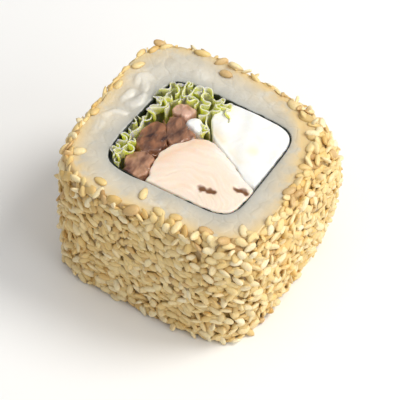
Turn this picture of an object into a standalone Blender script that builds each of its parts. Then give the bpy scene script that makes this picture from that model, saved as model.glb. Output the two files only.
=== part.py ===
# One slice of an inside-out sushi roll, standing on its lower cut: a ring of rice coated with
# sesame seeds, a nori sheet wound inside it, and a filling of cream cheese, chicken, shiitake
# and lettuce that runs from cut to cut.
# Z is up and X runs along the wide way of the slice. The origin is on the table, under its middle.

import bmesh
import bpy
import numpy as np

MM = 0.001
FULL_TURN = 2 * np.pi
CORNER_SPREAD = 0.1           # how far points of an outline gather at its corners

# The slice as a whole: outlines of the rice, without its seeds, at three levels
HEIGHT = 28.0 * MM            # from one cut to the other
MIDDLE = np.array([1.2, 0.2]) * MM  # of the outlines below; it is placed over the origin
FOOT_HALF_WIDTH = 19.9 * MM   # on the table
FOOT_HALF_DEPTH = 18.3 * MM
FOOT_SQUARENESS = 5.0
BELLY_HALF_WIDTH = 20.7 * MM  # where the wall swells out furthest
BELLY_HALF_DEPTH = 19.3 * MM
BELLY_SQUARENESS = 4.4
BELLY_LEVEL = 0.58            # share of the height
BELLY_SHIFT = np.array([0.8, 0.2]) * MM
SWELL = 0.045                 # the belly bulges towards one corner
SWELL_DIRECTION = np.radians(24)
SWELL_SPREAD = np.radians(26)
RIM_HALF_WIDTH = 19.2 * MM    # the edge of the upper cut
RIM_HALF_DEPTH = 18.1 * MM
RIM_SQUARENESS = 3.4
RIM_LEAN = -0.14              # how far the back of the rim is pushed towards -X
RIM_LOBE = 0.045              # a three-sided swelling of the hand-pressed rim
RIM_SHIFT = np.array([-0.5, 0.2]) * MM
SHOULDER = 2.6                # how squarely the wall turns in to the rim
LOWER_EDGE_RADIUS = 1.3 * MM
WALL_LEVELS = (0.05, 0.22, 0.4, 0.6, 0.76, 0.87, 0.945, 0.985)

# The sesame seeds
SEED_LENGTH = 2.85 * MM
SEED_WIDTH = 1.75 * MM
SEED_THICKNESS = 0.9 * MM
SEED_STAND = 0.55 * MM        # how far a seed stands out of the rice
SEED_ROWS = 6
SEEDS_IN_A_ROW = 42
SEED_SCATTER = 0.35 * MM      # how far a seed strays up or down from its row
STRAY_SEEDS = 6               # seeds that fell on the upper cut
STRAY_ANGLES = np.radians([60, 335])
STRAY_STAND = 0.1 * MM        # the height of a stray seed's middle over the cut
FOOT_SPREAD = 1.3             # a seed's sunken foot is larger, so it is full size where it shows

# The rice grains
GRAIN_LENGTH = 4.6 * MM
GRAIN_WIDTH = 2.5 * MM
RAISED_GRAINS = 10            # grains that stand out of the upper cut
GRAIN_ANGLES = np.radians([62, 320])  # only where the rice is thick
GRAIN_STAND = -0.85 * MM
CUT_RELIEF = 0.28 * MM        # depth of the pits between grains on the cuts

# The nori sheet
NORI_CENTRE = np.array([1.6, -0.1]) * MM
NORI_HALF_WIDTH = 13.2 * MM   # to the middle of the sheet's thickness
NORI_HALF_DEPTH = 11.8 * MM
NORI_SQUARENESS = 6.3
NORI_THICKNESS = 0.4 * MM
NORI_START = np.radians(200)  # where the sheet's inner end lies
NORI_OVERLAP = np.radians(32)
NORI_RAMP = np.radians(30)    # the stretch in which the sheet climbs over its inner end
NORI_FALL = np.radians([8, 14])  # the rice closes in again so far past the outer end, in so long a stretch
NORI_SINK = 0.25 * MM         # how far the sheet's upper edge lies below the cut
NORI_WAVER = 0.12 * MM
NORI_FOOT = 0.3 * MM          # how far its lower edge stops above the table

GAP = 0.35 * MM               # clearance between neighbours

# Outlines of the filling on the cut, as seen from above, in millimetres
CHEESE_OUTLINE = [
    (14.0, -2.9), (14.1, 1.6), (13.7, 6.1), (12.9, 8.9), (11.4, 10.0), (8.3, 10.4), (4.9, 10.2),
    (1.8, 9.6), (-0.3, 8.7), (0.5, 6.5), (2.2, 3.7), (4.4, 2.4), (7.6, 1.0), (10.9, -1.1), (13.0, -2.6),
]
CHICKEN_OUTLINE = [
    (-2.7, -9.6), (-1.1, -10.5), (2.4, -10.7), (6.8, -10.4), (10.5, -10.3), (13.4, -9.9),
    (14.3, -7.9), (14.3, -5.2), (13.2, -4.0), (10.6, -2.6), (7.8, -1.0), (4.8, 0.3),
    (2.6, 1.2), (0.8, 0.8), (-1.4, -1.1), (-2.6, -3.6), (-3.0, -7.0),
]
LOWER_SHIITAKE_OUTLINE = [
    (-8.1, -9.2), (-6.6, -10.4), (-4.9, -10.9), (-3.6, -10.9), (-4.0, -9.7), (-4.2, -8.1),
    (-4.4, -6.3), (-6.0, -6.5), (-7.5, -7.7),
]
MIDDLE_SHIITAKE_OUTLINE = [
    (-7.9, -5.1), (-7.2, -5.6), (-6.2, -5.3), (-4.5, -4.4), (-4.7, -2.6), (-6.0, -0.3),
    (-7.2, 1.3), (-8.4, 0.5), (-8.6, -2.1),
]
UPPER_SHIITAKE_OUTLINE = [
    (-3.4, -2.2), (-3.1, -1.2), (-1.8, 0.5), (-0.7, 1.3), (-1.5, 1.8), (-3.5, 2.5),
    (-4.8, 3.5), (-6.0, 3.8), (-6.4, 2.2), (-4.9, -0.4),
]
SMALL_SHIITAKE_OUTLINE = [
    (-7.0, 4.5), (-6.0, 5.1), (-4.6, 5.4), (-3.4, 5.8), (-3.7, 6.5), (-5.0, 6.8), (-6.4, 6.2), (-7.4, 4.9),
]
CHEESE_DAB_OUTLINE = [
    (-3.3, 3.7), (-2.9, 3.0), (-1.7, 2.7), (-0.8, 2.7), (-0.8, 3.7), (-1.4, 4.7), (-2.6, 4.6),
]
OUTER_LEAF_PATH = [
    (-8.5, -10.7), (-10.1, -10.1), (-10.2, -8.4), (-9.5, -6.5), (-10.1, -4.3), (-10.1, -1.9),
    (-10.6, 0.3), (-10.3, 3.1), (-10.4, 5.9), (-9.9, 8.2), (-8.5, 9.8), (-6.2, 10.3), (-4.3, 10.6),
    (-2.3, 10.2), (-1.4, 7.8), (-0.7, 5.5), (0.9, 3.4),
]
INNER_LEAF_PATH = [
    (-8.0, 3.6), (-8.7, 4.9), (-8.3, 6.6), (-7.2, 8.0), (-5.6, 8.5), (-4.3, 8.9), (-3.4, 8.2), (-3.1, 7.2),
]
LEAF_THICKNESS = 0.55 * MM
LEAF_FRILL = 0.32 * MM        # sideways wave of a leaf
LEAF_RISE = 1.0 * MM          # how far a leaf's frill stands over the cut
LEAF_LEVELS = [0.7 * MM, HEIGHT * 0.5, HEIGHT - 1.6 * MM, HEIGHT]

PRESS_STEP = 0.06 * MM        # the filling is pressed together in steps of this size
PRESS_REACH = 1.3 * MM        # and a piece swells no further than this
FILLING_SINK = 0.25 * MM       # the upper ends of the filling start this far below the cut
FILLING_EDGE = 0.65 * MM       # and round off over this height
MUSHROOM_FOOT = 0.35 * MM     # how far the mushrooms' lower ends stop above the table


def material(name, colour, roughness):
    made = bpy.data.materials.new(name)
    made.use_nodes = True
    shader = made.node_tree.nodes["Principled BSDF"]
    shader.inputs["Base Color"].default_value = (*colour, 1.0)
    shader.inputs["Roughness"].default_value = roughness
    shader.inputs["Metallic"].default_value = 0.0
    return made


def mesh_object(name, points, faces, finish):
    mesh = bpy.data.meshes.new(name)
    mesh.from_pydata([tuple(p) for p in points], [], [tuple(f) for f in faces])
    mesh.materials.append(finish)
    mesh.shade_smooth()
    mesh.set_sharp_from_angle(angle=np.radians(40))
    made = bpy.data.objects.new(name, mesh)
    bpy.context.scene.collection.objects.link(made)
    return made


def superellipse(angles, half_width, half_depth, squareness):
    """Radius of a rounded rectangle in each direction."""
    across = np.abs(np.cos(angles) / half_width) ** squareness
    along = np.abs(np.sin(angles) / half_depth) ** squareness
    return (across + along) ** (-1 / squareness)


def corner_spread(angles):
    """Moves evenly spaced directions towards the four corners of a rounded rectangle."""
    return angles + CORNER_SPREAD * np.sin(4 * angles)


def directions(angles):
    return np.stack([np.cos(angles), np.sin(angles)], axis=-1)


def smoothstep(value):
    value = np.clip(value, 0, 1)
    return value * value * (3 - 2 * value)


def foot_outline(angles):
    radius = superellipse(angles, FOOT_HALF_WIDTH, FOOT_HALF_DEPTH, FOOT_SQUARENESS)
    return directions(angles) * radius[..., None]


def belly_outline(angles):
    radius = superellipse(angles, BELLY_HALF_WIDTH, BELLY_HALF_DEPTH, BELLY_SQUARENESS)
    off = (angles - SWELL_DIRECTION + np.pi) % FULL_TURN - np.pi
    swollen = radius * (1 + SWELL * np.exp(-((off / SWELL_SPREAD) ** 2)))
    return directions(angles) * swollen[..., None] + BELLY_SHIFT


def rim_outline(angles):
    radius = superellipse(angles, RIM_HALF_WIDTH, RIM_HALF_DEPTH, RIM_SQUARENESS)
    flat = directions(angles) * (radius * (1 + RIM_LOBE * np.cos(3 * angles + 0.7)))[..., None]
    flat[..., 0] += RIM_LEAN * flat[..., 1]
    return flat + RIM_SHIFT


def wall_points(angles, heights):
    """The rice's outer wall, without its seeds, at these angles and heights."""
    level = heights / HEIGHT
    lower = smoothstep(level / BELLY_LEVEL)[..., None]
    climb = np.clip((level - BELLY_LEVEL) / (1 - BELLY_LEVEL), 0, 1)
    upper = (1 - (1 - climb**SHOULDER) ** (1 / SHOULDER))[..., None]
    flat = foot_outline(angles) * (1 - lower) + belly_outline(angles) * lower
    flat = flat * (1 - upper) + rim_outline(angles) * upper
    below = np.clip(LOWER_EDGE_RADIUS - heights, 0, LOWER_EDGE_RADIUS)
    inset = LOWER_EDGE_RADIUS - np.sqrt(LOWER_EDGE_RADIUS**2 - below**2)
    flat = flat - directions(angles) * inset[..., None]
    return np.concatenate([flat, heights[..., None]], axis=-1)


def nori_radius(angles):
    return superellipse(angles, NORI_HALF_WIDTH, NORI_HALF_DEPTH, NORI_SQUARENESS)


def second_layer(angles):
    """1 where the sheet lies on itself, easing to 0 on either side."""
    past_start = (angles - NORI_START + NORI_RAMP) % FULL_TURN
    climb = smoothstep(past_start / NORI_RAMP)
    fall = smoothstep((past_start - NORI_RAMP - NORI_OVERLAP - NORI_FALL[0]) / NORI_FALL[1])
    return climb * (1 - fall)


def hole_points(angles, heights):
    """The rice's inner wall, which follows the outside of the nori."""
    layers = second_layer(angles) * (NORI_THICKNESS + GAP)
    radius = nori_radius(angles) + NORI_THICKNESS / 2 + GAP + layers
    flat = NORI_CENTRE + directions(angles) * radius[..., None]
    return np.concatenate([flat, heights[..., None]], axis=-1)


def ring_faces(rows, columns, first, wraps_rows=False):
    """Quads of a grid whose columns close into a ring."""
    faces = []
    for row in range(rows if wraps_rows else rows - 1):
        for column in range(columns):
            right = (column + 1) % columns
            above = (row + 1) % rows
            faces.append((
                first + row * columns + column,
                first + row * columns + right,
                first + above * columns + right,
                first + above * columns + column,
            ))
    return faces


def rice_core(finish, columns=60):
    """The ring of rice: up the outer wall, in over the upper cut, down the hole, out underneath."""
    angles = corner_spread(np.linspace(0, FULL_TURN, columns, endpoint=False))
    lower_heights = LOWER_EDGE_RADIUS * (1 - np.cos(np.radians([20, 60])))
    heights = [*lower_heights, *(HEIGHT * level for level in WALL_LEVELS)]
    rows = [wall_points(angles, np.full(columns, z)) for z in heights]
    draw = np.random.default_rng(11)
    edge = wall_points(angles, np.full(columns, HEIGHT))
    hole = hole_points(angles, np.full(columns, HEIGHT))
    for share in (0.0, 0.25, 0.5, 0.75, 1.0):
        row = edge * (1 - share) + hole * share
        row[:, 2] = HEIGHT - CUT_RELIEF * draw.random(columns) * (0.4 if share in (0.0, 1.0) else 1.0)
        rows.append(row)
    rows.append(hole_points(angles, np.full(columns, HEIGHT / 2)))
    foot = wall_points(angles, np.full(columns, 0.02 * MM))
    inner_foot = hole_points(angles, np.zeros(columns))
    for share in (1.0, 0.66, 0.33, 0.0):
        row = foot * (1 - share) + inner_foot * share
        pits = draw.random(columns) > 0.8
        row[:, 2] = CUT_RELIEF * pits * (0.0 < share < 1.0)
        rows.append(row)
    points = np.concatenate(rows)
    return mesh_object("rice_with_sesame", points, ring_faces(len(rows), columns, 0, True), finish)


def grain_shape(length, width, thickness):
    """A closed seed or grain along X: a pointed six-sided foot that leans in to a ridge on top."""
    outline = [(0.5, 0), (0.14, 0.44), (-0.3, 0.5), (-0.5, 0), (-0.3, -0.5), (0.14, -0.44)]
    ridge = [(0.2, 0), (-0.34, 0)]
    points = [(along * length * FOOT_SPREAD, aside * width * FOOT_SPREAD, -thickness / 2)
              for along, aside in outline]
    points += [(along * length, aside * width, thickness / 2) for along, aside in ridge]
    front, back = 6, 7
    faces = [(0, 1, front), (1, back, front), (1, 2, back), (2, 3, back), (3, 4, back), (4, 5, back),
             (5, front, back), (5, 0, front), (5, 4, 3, 2, 1, 0)]
    return np.array(points), faces


def placed(points, centre, along, outward):
    """Points of a grain turned so that its length lies along one direction and it faces outward."""
    outward = outward / np.linalg.norm(outward)
    along = along - outward * (along @ outward)
    along = along / np.linalg.norm(along)
    side = np.cross(outward, along)
    return centre + points @ np.array([along, side, outward])


def wall_seeds(draw):
    """Seeds in even staggered rows round the wall, each lying flat and turned at random."""
    shape, faces = grain_shape(SEED_LENGTH, SEED_WIDTH, SEED_THICKNESS)
    lowest, highest = SEED_LENGTH * 0.75, HEIGHT - SEED_LENGTH * 0.42
    samples = np.linspace(0, FULL_TURN, 721)
    for row, height in enumerate(np.linspace(lowest, highest, SEED_ROWS)):
        outline = wall_points(samples, np.full(len(samples), height))
        walked = np.concatenate([[0], np.cumsum(np.linalg.norm(np.diff(outline, axis=0), axis=1))])
        for place in range(SEEDS_IN_A_ROW):
            share = (place + 0.5 * (row % 2) + draw.uniform(-0.12, 0.12)) / SEEDS_IN_A_ROW % 1
            angle = np.array(np.interp(share * walked[-1], walked, samples))
            lift = np.array(np.clip(height + draw.uniform(-1, 1) * SEED_SCATTER, lowest, highest))
            step = 1e-4
            here = wall_points(angle, lift)
            round_wall = wall_points(angle + step, lift) - here
            up_wall = wall_points(angle, lift + step * MM) - here
            outward = np.cross(round_wall, up_wall)
            outward = outward / np.linalg.norm(outward)
            turn = draw.uniform(0, np.pi)
            along = (round_wall / np.linalg.norm(round_wall) * np.cos(turn)
                     + up_wall / np.linalg.norm(up_wall) * np.sin(turn))
            centre = here + outward * (SEED_STAND - SEED_THICKNESS / 2)
            yield placed(shape, centre, along, outward), faces


def cut_pieces(draw, count, sizes, share_range, angle_range, stand):
    """Grains or seeds lying half sunk in the upper cut, between the hole and the rim."""
    shape, faces = grain_shape(*sizes)
    first_angle, last_angle = angle_range
    for piece in range(count):
        along_range = (piece + draw.uniform(0.2, 0.8)) / count
        angle = np.array(first_angle + (last_angle - first_angle) * along_range)
        share = draw.uniform(*share_range)
        turn = angle + np.pi / 2 + draw.uniform(-0.45, 0.45)
        top = np.array(HEIGHT)
        centre = wall_points(angle, top) * share + hole_points(angle, top) * (1 - share)
        centre[2] = HEIGHT - CUT_RELIEF / 2 + stand
        along = np.array([*directions(turn), draw.uniform(-0.15, 0.15)])
        yield placed(shape, centre, along, np.array([0.0, 0.0, 1.0])), faces


def fuse_toppings(core, rice, sesame):
    """Joins every seed and raised grain to the rice by one Boolean union."""
    draw = np.random.default_rng(5)
    seed = (SEED_LENGTH, SEED_WIDTH, SEED_THICKNESS)
    grain = (GRAIN_LENGTH, GRAIN_WIDTH, GRAIN_WIDTH)
    seeds = [*wall_seeds(draw)]
    grains = [*cut_pieces(draw, RAISED_GRAINS, grain, (0.56, 0.72), GRAIN_ANGLES, GRAIN_STAND)]
    seeds += cut_pieces(draw, STRAY_SEEDS, seed, (0.82, 0.92), STRAY_ANGLES, STRAY_STAND)
    group = bpy.data.collections.new("toppings")
    for toppings, finish in ((seeds, sesame), (grains, rice)):
        for points, faces in toppings:
            piece = mesh_object("topping", points, faces, finish)
            bpy.context.scene.collection.objects.unlink(piece)
            group.objects.link(piece)
    union = core.modifiers.new("toppings", "BOOLEAN")
    union.operation = "UNION"
    union.operand_type = "COLLECTION"
    union.collection = group
    union.solver = "MANIFOLD"
    bpy.context.view_layer.update()
    joined = bpy.data.meshes.new_from_object(core.evaluated_get(bpy.context.evaluated_depsgraph_get()))
    core.modifiers.clear()
    core.data = joined
    for piece in list(group.objects):
        bpy.data.objects.remove(piece)
    bpy.data.collections.remove(group)


def nori_sheet(finish, columns=72):
    """One thin sheet wound round the filling, its outer end lying over its inner end."""
    angles = corner_spread(NORI_START + np.linspace(0, FULL_TURN + NORI_OVERLAP, columns))
    climb = smoothstep((angles - NORI_START - FULL_TURN + NORI_RAMP) / NORI_RAMP)
    radius = nori_radius(angles) + climb * (NORI_THICKNESS + GAP)
    inner = NORI_CENTRE + directions(angles) * (radius - NORI_THICKNESS / 2)[:, None]
    outer = NORI_CENTRE + directions(angles) * (radius + NORI_THICKNESS / 2)[:, None]
    waver = np.sin(angles * 5) + np.sin(angles * 11 + 1)
    top = HEIGHT - NORI_SINK + NORI_WAVER * waver
    bottom = np.full(columns, NORI_FOOT)
    rows = [np.column_stack([side, level]) for side, level in (
        (inner, bottom), (outer, bottom), (outer, top), (inner, top))]
    points = np.concatenate(rows)
    faces = []
    for row in range(4):
        here, above = row * columns, (row + 1) % 4 * columns
        for column in range(columns - 1):
            faces.append((here + column, here + column + 1, above + column + 1, above + column))
    last = columns - 1
    faces.append((0, 3 * columns, 2 * columns, columns))
    faces.append((last, columns + last, 2 * columns + last, 3 * columns + last))
    return mesh_object("nori", points, faces, finish)


def closed_curve(control, count):
    """A smooth closed line through the control points, evenly sampled between them."""
    control = np.array(control) * MM
    spans = len(control)
    at = np.linspace(0, spans, count, endpoint=False)
    span = at.astype(int)
    t = (at - span)[:, None]
    before, start, end, after = (control[(span + shift) % spans] for shift in (-1, 0, 1, 2))
    return 0.5 * (2 * start + (end - before) * t + (2 * before - 5 * start + 4 * end - after) * t**2
                  + (3 * start - before - 3 * end + after) * t**3)


def open_curve(control, count):
    """A smooth line from the first control point to the last, evenly sampled."""
    control = np.array(control) * MM
    padded = np.vstack([2 * control[0] - control[1], control, 2 * control[-1] - control[-2]])
    at = np.linspace(0, len(control) - 1, count)
    span = np.minimum(at.astype(int), len(control) - 2)
    t = (at - span)[:, None]
    before, start, end, after = (padded[span + shift] for shift in range(4))
    return 0.5 * (2 * start + (end - before) * t + (2 * before - 5 * start + 4 * end - after) * t**2
                  + (3 * start - before - 3 * end + after) * t**3)


def kept_in_nori(flat):
    """Points beyond the inside of the nori, drawn back until they clear it."""
    away = flat - NORI_CENTRE
    angles = np.arctan2(away[:, 1], away[:, 0])
    limit = nori_radius(angles) - NORI_THICKNESS / 2 - GAP
    reach = np.linalg.norm(away, axis=1)
    return NORI_CENTRE + away * np.minimum(1, limit / reach)[:, None]


def leaf_lines(path, count, waves, phase):
    """Both faces of a leaf at each of its levels, as wavy lines seen from above."""
    line = open_curve(path, count)
    along = np.gradient(line, axis=0)
    across = np.column_stack([-along[:, 1], along[:, 0]]) / np.linalg.norm(along, axis=1)[:, None]
    walk = np.linspace(0, 1, count)
    sides = []
    for side in (-1, 1):
        for row in range(len(LEAF_LEVELS)):
            wave = LEAF_FRILL * (0.5 + 0.17 * row) * np.sin(waves * FULL_TURN * walk + phase + row * 0.5)
            sides.append(kept_in_nori(line + across * (wave + side * LEAF_THICKNESS / 2)[:, None]))
    return np.array(sides)


def distance_to_pieces(points, start, end):
    """Distance from each point to the nearest of these straight pieces."""
    along = end - start
    share = np.einsum("pij,ij->pi", points[:, None] - start, along) / (along**2).sum(axis=1)
    nearest = start + np.clip(share, 0, 1)[..., None] * along
    return np.linalg.norm(points[:, None] - nearest, axis=2).min(axis=1)


def press_together(edges, leaves):
    """Swells the pieces of filling against each other, the leaves and the nori, up to the clearance."""
    first = {name: edge.copy() for name, edge in edges.items()}
    leaf_starts = np.concatenate([line[:-1] for lines in leaves for line in lines])
    leaf_ends = np.concatenate([line[1:] for lines in leaves for line in lines])
    for _ in range(int(PRESS_REACH / PRESS_STEP)):
        for name, edge in edges.items():
            others = [other for key, other in edges.items() if key != name]
            starts = np.concatenate([leaf_starts, *others])
            ends = np.concatenate([leaf_ends, *(np.roll(other, -1, axis=0) for other in others)])
            along = np.roll(edge, -1, axis=0) - np.roll(edge, 1, axis=0)
            outward = np.column_stack([along[:, 1], -along[:, 0]]) / np.linalg.norm(along, axis=1)[:, None]
            moved = edge + outward * PRESS_STEP
            moved = kept_in_nori(moved * 0.8 + 0.1 * (np.roll(moved, 1, axis=0) + np.roll(moved, -1, axis=0)))
            free = distance_to_pieces(moved, starts, ends) > GAP
            for shift in (-1, 1):
                halfway = (moved + np.roll(moved, shift, axis=0)) / 2
                free &= distance_to_pieces(halfway, starts, ends) > GAP
            free &= np.linalg.norm(moved - first[name], axis=1) < PRESS_REACH
            edge[free] = moved[free]


def filling(name, edge, finish, foot, crown, relief, turns):
    """A length of filling that runs from cut to cut, with a crowned and uneven upper end."""
    count = len(edge)
    middle = edge.mean(axis=0)
    rows = [np.column_stack([middle + (edge - middle) * 0.55, np.full(count, foot)])]
    top = HEIGHT - FILLING_SINK
    for level in (foot, HEIGHT * 0.5, top - FILLING_EDGE):
        rows.append(np.column_stack([edge, np.full(count, level)]))
    around = np.linspace(0, FULL_TURN, count, endpoint=False)
    for share, lift in ((0.94, 0.25), (0.6, 0.85)):
        ripple = relief * np.sin(turns * around + 5 * share)
        rows.append(np.column_stack([
            middle + (edge - middle) * share, top + crown * lift + ripple]))
    points = np.concatenate([*rows, [[*middle, foot]], [[*middle, top + crown]]])
    faces = ring_faces(len(rows), count, 0)
    below, above, last = len(points) - 2, len(points) - 1, (len(rows) - 1) * count
    for place in range(count):
        after = (place + 1) % count
        faces.append((below, after, place))
        faces.append((above, last + place, last + after))
    return mesh_object(name, points, faces, finish)


def leaf(name, lines, finish, waves):
    """A thin wavy leaf standing on edge, its two faces split into triangles alike."""
    rows, count = len(LEAF_LEVELS), lines.shape[1]
    frill = LEAF_RISE * (0.35 + 0.65 * np.sin(np.linspace(0, waves * 1.2 * FULL_TURN, count)))
    heights = np.repeat([LEAF_LEVELS], 2, axis=0).reshape(-1, 1) + np.zeros(count)
    heights[rows - 1::rows] += frill
    points = np.concatenate([lines, heights[..., None]], axis=-1).reshape(-1, 3)

    def at(side, row, column):
        return (side * rows + row) * count + column

    faces = []
    for column in range(count - 1):
        for row in range(rows - 1):
            corners = [(row, column), (row, column + 1), (row + 1, column + 1), (row + 1, column)]
            for picked in ((0, 1, 2), (0, 2, 3)):
                faces.append([at(0, *corners[k]) for k in picked])
                faces.append([at(1, *corners[k]) for k in reversed(picked)])
        faces.append([at(0, 0, column + 1), at(0, 0, column), at(1, 0, column), at(1, 0, column + 1)])
        faces.append([at(0, rows - 1, column), at(0, rows - 1, column + 1),
                      at(1, rows - 1, column + 1), at(1, rows - 1, column)])
    for row in range(rows - 1):
        faces.append([at(0, row, 0), at(0, row + 1, 0), at(1, row + 1, 0), at(1, row, 0)])
        faces.append([at(0, row + 1, count - 1), at(0, row, count - 1),
                      at(1, row, count - 1), at(1, row + 1, count - 1)])
    return mesh_object(name, points, faces, finish)


def clear_scene():
    for made in list(bpy.data.objects):
        bpy.data.objects.remove(made)


def turn_faces_out(made):
    """Makes the faces of each closed solid point outwards."""
    edit = bmesh.new()
    edit.from_mesh(made.data)
    bmesh.ops.recalc_face_normals(edit, faces=edit.faces)
    edit.to_mesh(made.data)
    edit.free()


def main():
    clear_scene()
    rice = material("rice", (0.80, 0.79, 0.73), 0.45)
    nori = material("nori", (0.03, 0.045, 0.035), 0.5)
    cheese = material("cream_cheese", (0.95, 0.94, 0.88), 0.4)
    sesame = material("sesame", (0.86, 0.72, 0.46), 0.4)
    chicken = material("chicken", (0.90, 0.72, 0.60), 0.45)
    shiitake = material("shiitake", (0.30, 0.16, 0.09), 0.3)
    lettuce = material("lettuce", (0.55, 0.68, 0.16), 0.4)

    core = rice_core(rice)
    turn_faces_out(core)
    fuse_toppings(core, rice, sesame)
    nori_sheet(nori)

    outer_leaf = leaf_lines(OUTER_LEAF_PATH, 40, 5, 0.4)
    inner_leaf = leaf_lines(INNER_LEAF_PATH, 26, 3, 1.2)
    edges = {name: kept_in_nori(closed_curve(outline, count)) for name, outline, count in (
        ("cream_cheese", CHEESE_OUTLINE, 32),
        ("cheese_dab", CHEESE_DAB_OUTLINE, 14),
        ("chicken", CHICKEN_OUTLINE, 36),
        ("shiitake_lower", LOWER_SHIITAKE_OUTLINE, 16),
        ("shiitake_middle", MIDDLE_SHIITAKE_OUTLINE, 18),
        ("shiitake_upper", UPPER_SHIITAKE_OUTLINE, 18),
        ("shiitake_small", SMALL_SHIITAKE_OUTLINE, 12),
    )}
    press_together(edges, [outer_leaf, inner_leaf])
    leaf("lettuce_outer", outer_leaf, lettuce, 5)
    leaf("lettuce_inner", inner_leaf, lettuce, 3)
    filling("cream_cheese", edges["cream_cheese"], cheese, 0.0, 0.35 * MM, 0.12 * MM, 4)
    filling("cheese_dab", edges["cheese_dab"], cheese, 0.0, 0.2 * MM, 0.05 * MM, 3)
    filling("chicken", edges["chicken"], chicken, 0.0, 0.7 * MM, 0.12 * MM, 6)
    for name in ("shiitake_lower", "shiitake_middle", "shiitake_upper", "shiitake_small"):
        filling(name, edges[name], shiitake, MUSHROOM_FOOT, 0.3 * MM, 0.3 * MM, 5)
    for made in bpy.data.objects:
        turn_faces_out(made)
        made.location = (-MIDDLE[0], -MIDDLE[1], 0)


main()
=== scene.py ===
# One slice of an inside-out roll, standing on its lower cut: a sesame wall round pressed rice,
# a nori sheet, and a filling of cream cheese, chicken, shiitake and lettuce.
import bpy
import numpy as np
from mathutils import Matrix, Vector


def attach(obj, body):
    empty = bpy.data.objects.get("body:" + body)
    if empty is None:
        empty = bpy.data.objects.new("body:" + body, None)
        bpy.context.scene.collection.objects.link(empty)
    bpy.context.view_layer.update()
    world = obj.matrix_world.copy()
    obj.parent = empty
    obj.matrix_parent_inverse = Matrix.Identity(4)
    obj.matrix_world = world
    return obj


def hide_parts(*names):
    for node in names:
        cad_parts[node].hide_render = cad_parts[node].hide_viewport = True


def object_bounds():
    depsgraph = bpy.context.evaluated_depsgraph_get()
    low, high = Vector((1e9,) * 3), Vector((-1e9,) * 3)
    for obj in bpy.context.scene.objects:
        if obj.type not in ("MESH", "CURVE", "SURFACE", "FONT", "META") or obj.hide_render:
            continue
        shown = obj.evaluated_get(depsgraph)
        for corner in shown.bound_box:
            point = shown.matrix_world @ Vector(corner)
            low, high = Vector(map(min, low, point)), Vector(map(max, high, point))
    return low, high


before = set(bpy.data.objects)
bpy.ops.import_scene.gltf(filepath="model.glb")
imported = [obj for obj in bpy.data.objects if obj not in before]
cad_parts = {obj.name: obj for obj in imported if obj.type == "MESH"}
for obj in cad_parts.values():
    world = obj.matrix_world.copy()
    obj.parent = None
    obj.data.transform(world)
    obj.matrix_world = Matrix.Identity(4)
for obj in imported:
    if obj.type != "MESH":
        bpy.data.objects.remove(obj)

cadLow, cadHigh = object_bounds()
mm = 0.001
fullTurn = 2 * np.pi
print("frame loaded")

# Everything below is laid out in millimetres, and shifted by middle when a mesh is made
rollBody = {
    "height": 28.0,
    "middle": (1.2, 0.2),
    "foot": (19.9, 18.3, 5.0),       # half width, half depth, squareness
    "belly": (20.7, 19.3, 4.4),
    "bellyLevel": 0.58,
    "bellyShift": (0.8, 0.2),
    "swell": (0.045, 24, 26),        # size, direction and spread in degrees
    "rim": (19.2, 18.1, 3.4),
    "rimLean": -0.14,
    "rimLobe": (0.045, 3, 0.7),      # size, number and phase of the rim's swellings
    "rimShift": (-0.5, 0.2),
    "shoulder": 2.6,
    "footRound": 1.3,
}
rollMiddle = np.array([*rollBody["middle"], 0])


def ease(value):
    value = np.clip(value, 0, 1)
    return value * value * (3 - 2 * value)


def towards(angles):
    return np.stack([np.cos(angles), np.sin(angles)], axis=-1)


def unit(vectors):
    return vectors / np.linalg.norm(vectors, axis=-1)[..., None]


def gathered(angles):
    # points lie closer together at the corners
    return angles + 0.1 * np.sin(4 * angles)


def roundedBox(angles, halfWidth, halfDepth, squareness):
    across = np.abs(np.cos(angles) / halfWidth) ** squareness
    along = np.abs(np.sin(angles) / halfDepth) ** squareness
    return (across + along) ** (-1 / squareness)


def unevenness(points, size, seed, waves=26):
    # a smooth random field, about 1 high either way, with lumps of the given size
    points = np.asarray(points, float)
    draw = np.random.default_rng(seed)
    heading = unit(draw.normal(size=(waves, points.shape[1])))
    pitch = fullTurn / (2 * size * draw.uniform(0.7, 1.6, waves))
    phase = draw.uniform(0, fullTurn, waves)
    field = np.cos(points @ (heading * pitch[:, None]).T + phase).sum(axis=1)
    return field / np.sqrt(waves)


def straying(points, size, *seeds):
    return np.column_stack([unevenness(points, size, seed) for seed in seeds])


def wallPoints(angles, heights):
    # the rice's outer wall under its seeds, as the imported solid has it
    level = heights / rollBody["height"]
    foot = towards(angles) * roundedBox(angles, *rollBody["foot"])[..., None]
    size, heading, spread = rollBody["swell"]
    off = (angles - np.radians(heading) + np.pi) % fullTurn - np.pi
    swollen = roundedBox(angles, *rollBody["belly"]) * (1 + size * np.exp(-((off / np.radians(spread)) ** 2)))
    belly = towards(angles) * swollen[..., None] + rollBody["bellyShift"]
    lobe, lobes, phase = rollBody["rimLobe"]
    lobed = roundedBox(angles, *rollBody["rim"]) * (1 + lobe * np.cos(lobes * angles + phase))
    rim = towards(angles) * lobed[..., None]
    rim[..., 0] += rollBody["rimLean"] * rim[..., 1]
    rim = rim + rollBody["rimShift"]
    bellyLevel, shoulder = rollBody["bellyLevel"], rollBody["shoulder"]
    lower = ease(level / bellyLevel)[..., None]
    climb = np.clip((level - bellyLevel) / (1 - bellyLevel), 0, 1)
    upper = (1 - (1 - climb**shoulder) ** (1 / shoulder))[..., None]
    flat = (foot * (1 - lower) + belly * lower) * (1 - upper) + rim * upper
    footRound = rollBody["footRound"]
    below = np.clip(footRound - heights, 0, footRound)
    flat = flat - towards(angles) * (footRound - np.sqrt(footRound**2 - below**2))[..., None]
    return np.concatenate([flat, heights[..., None]], axis=-1)


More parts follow.
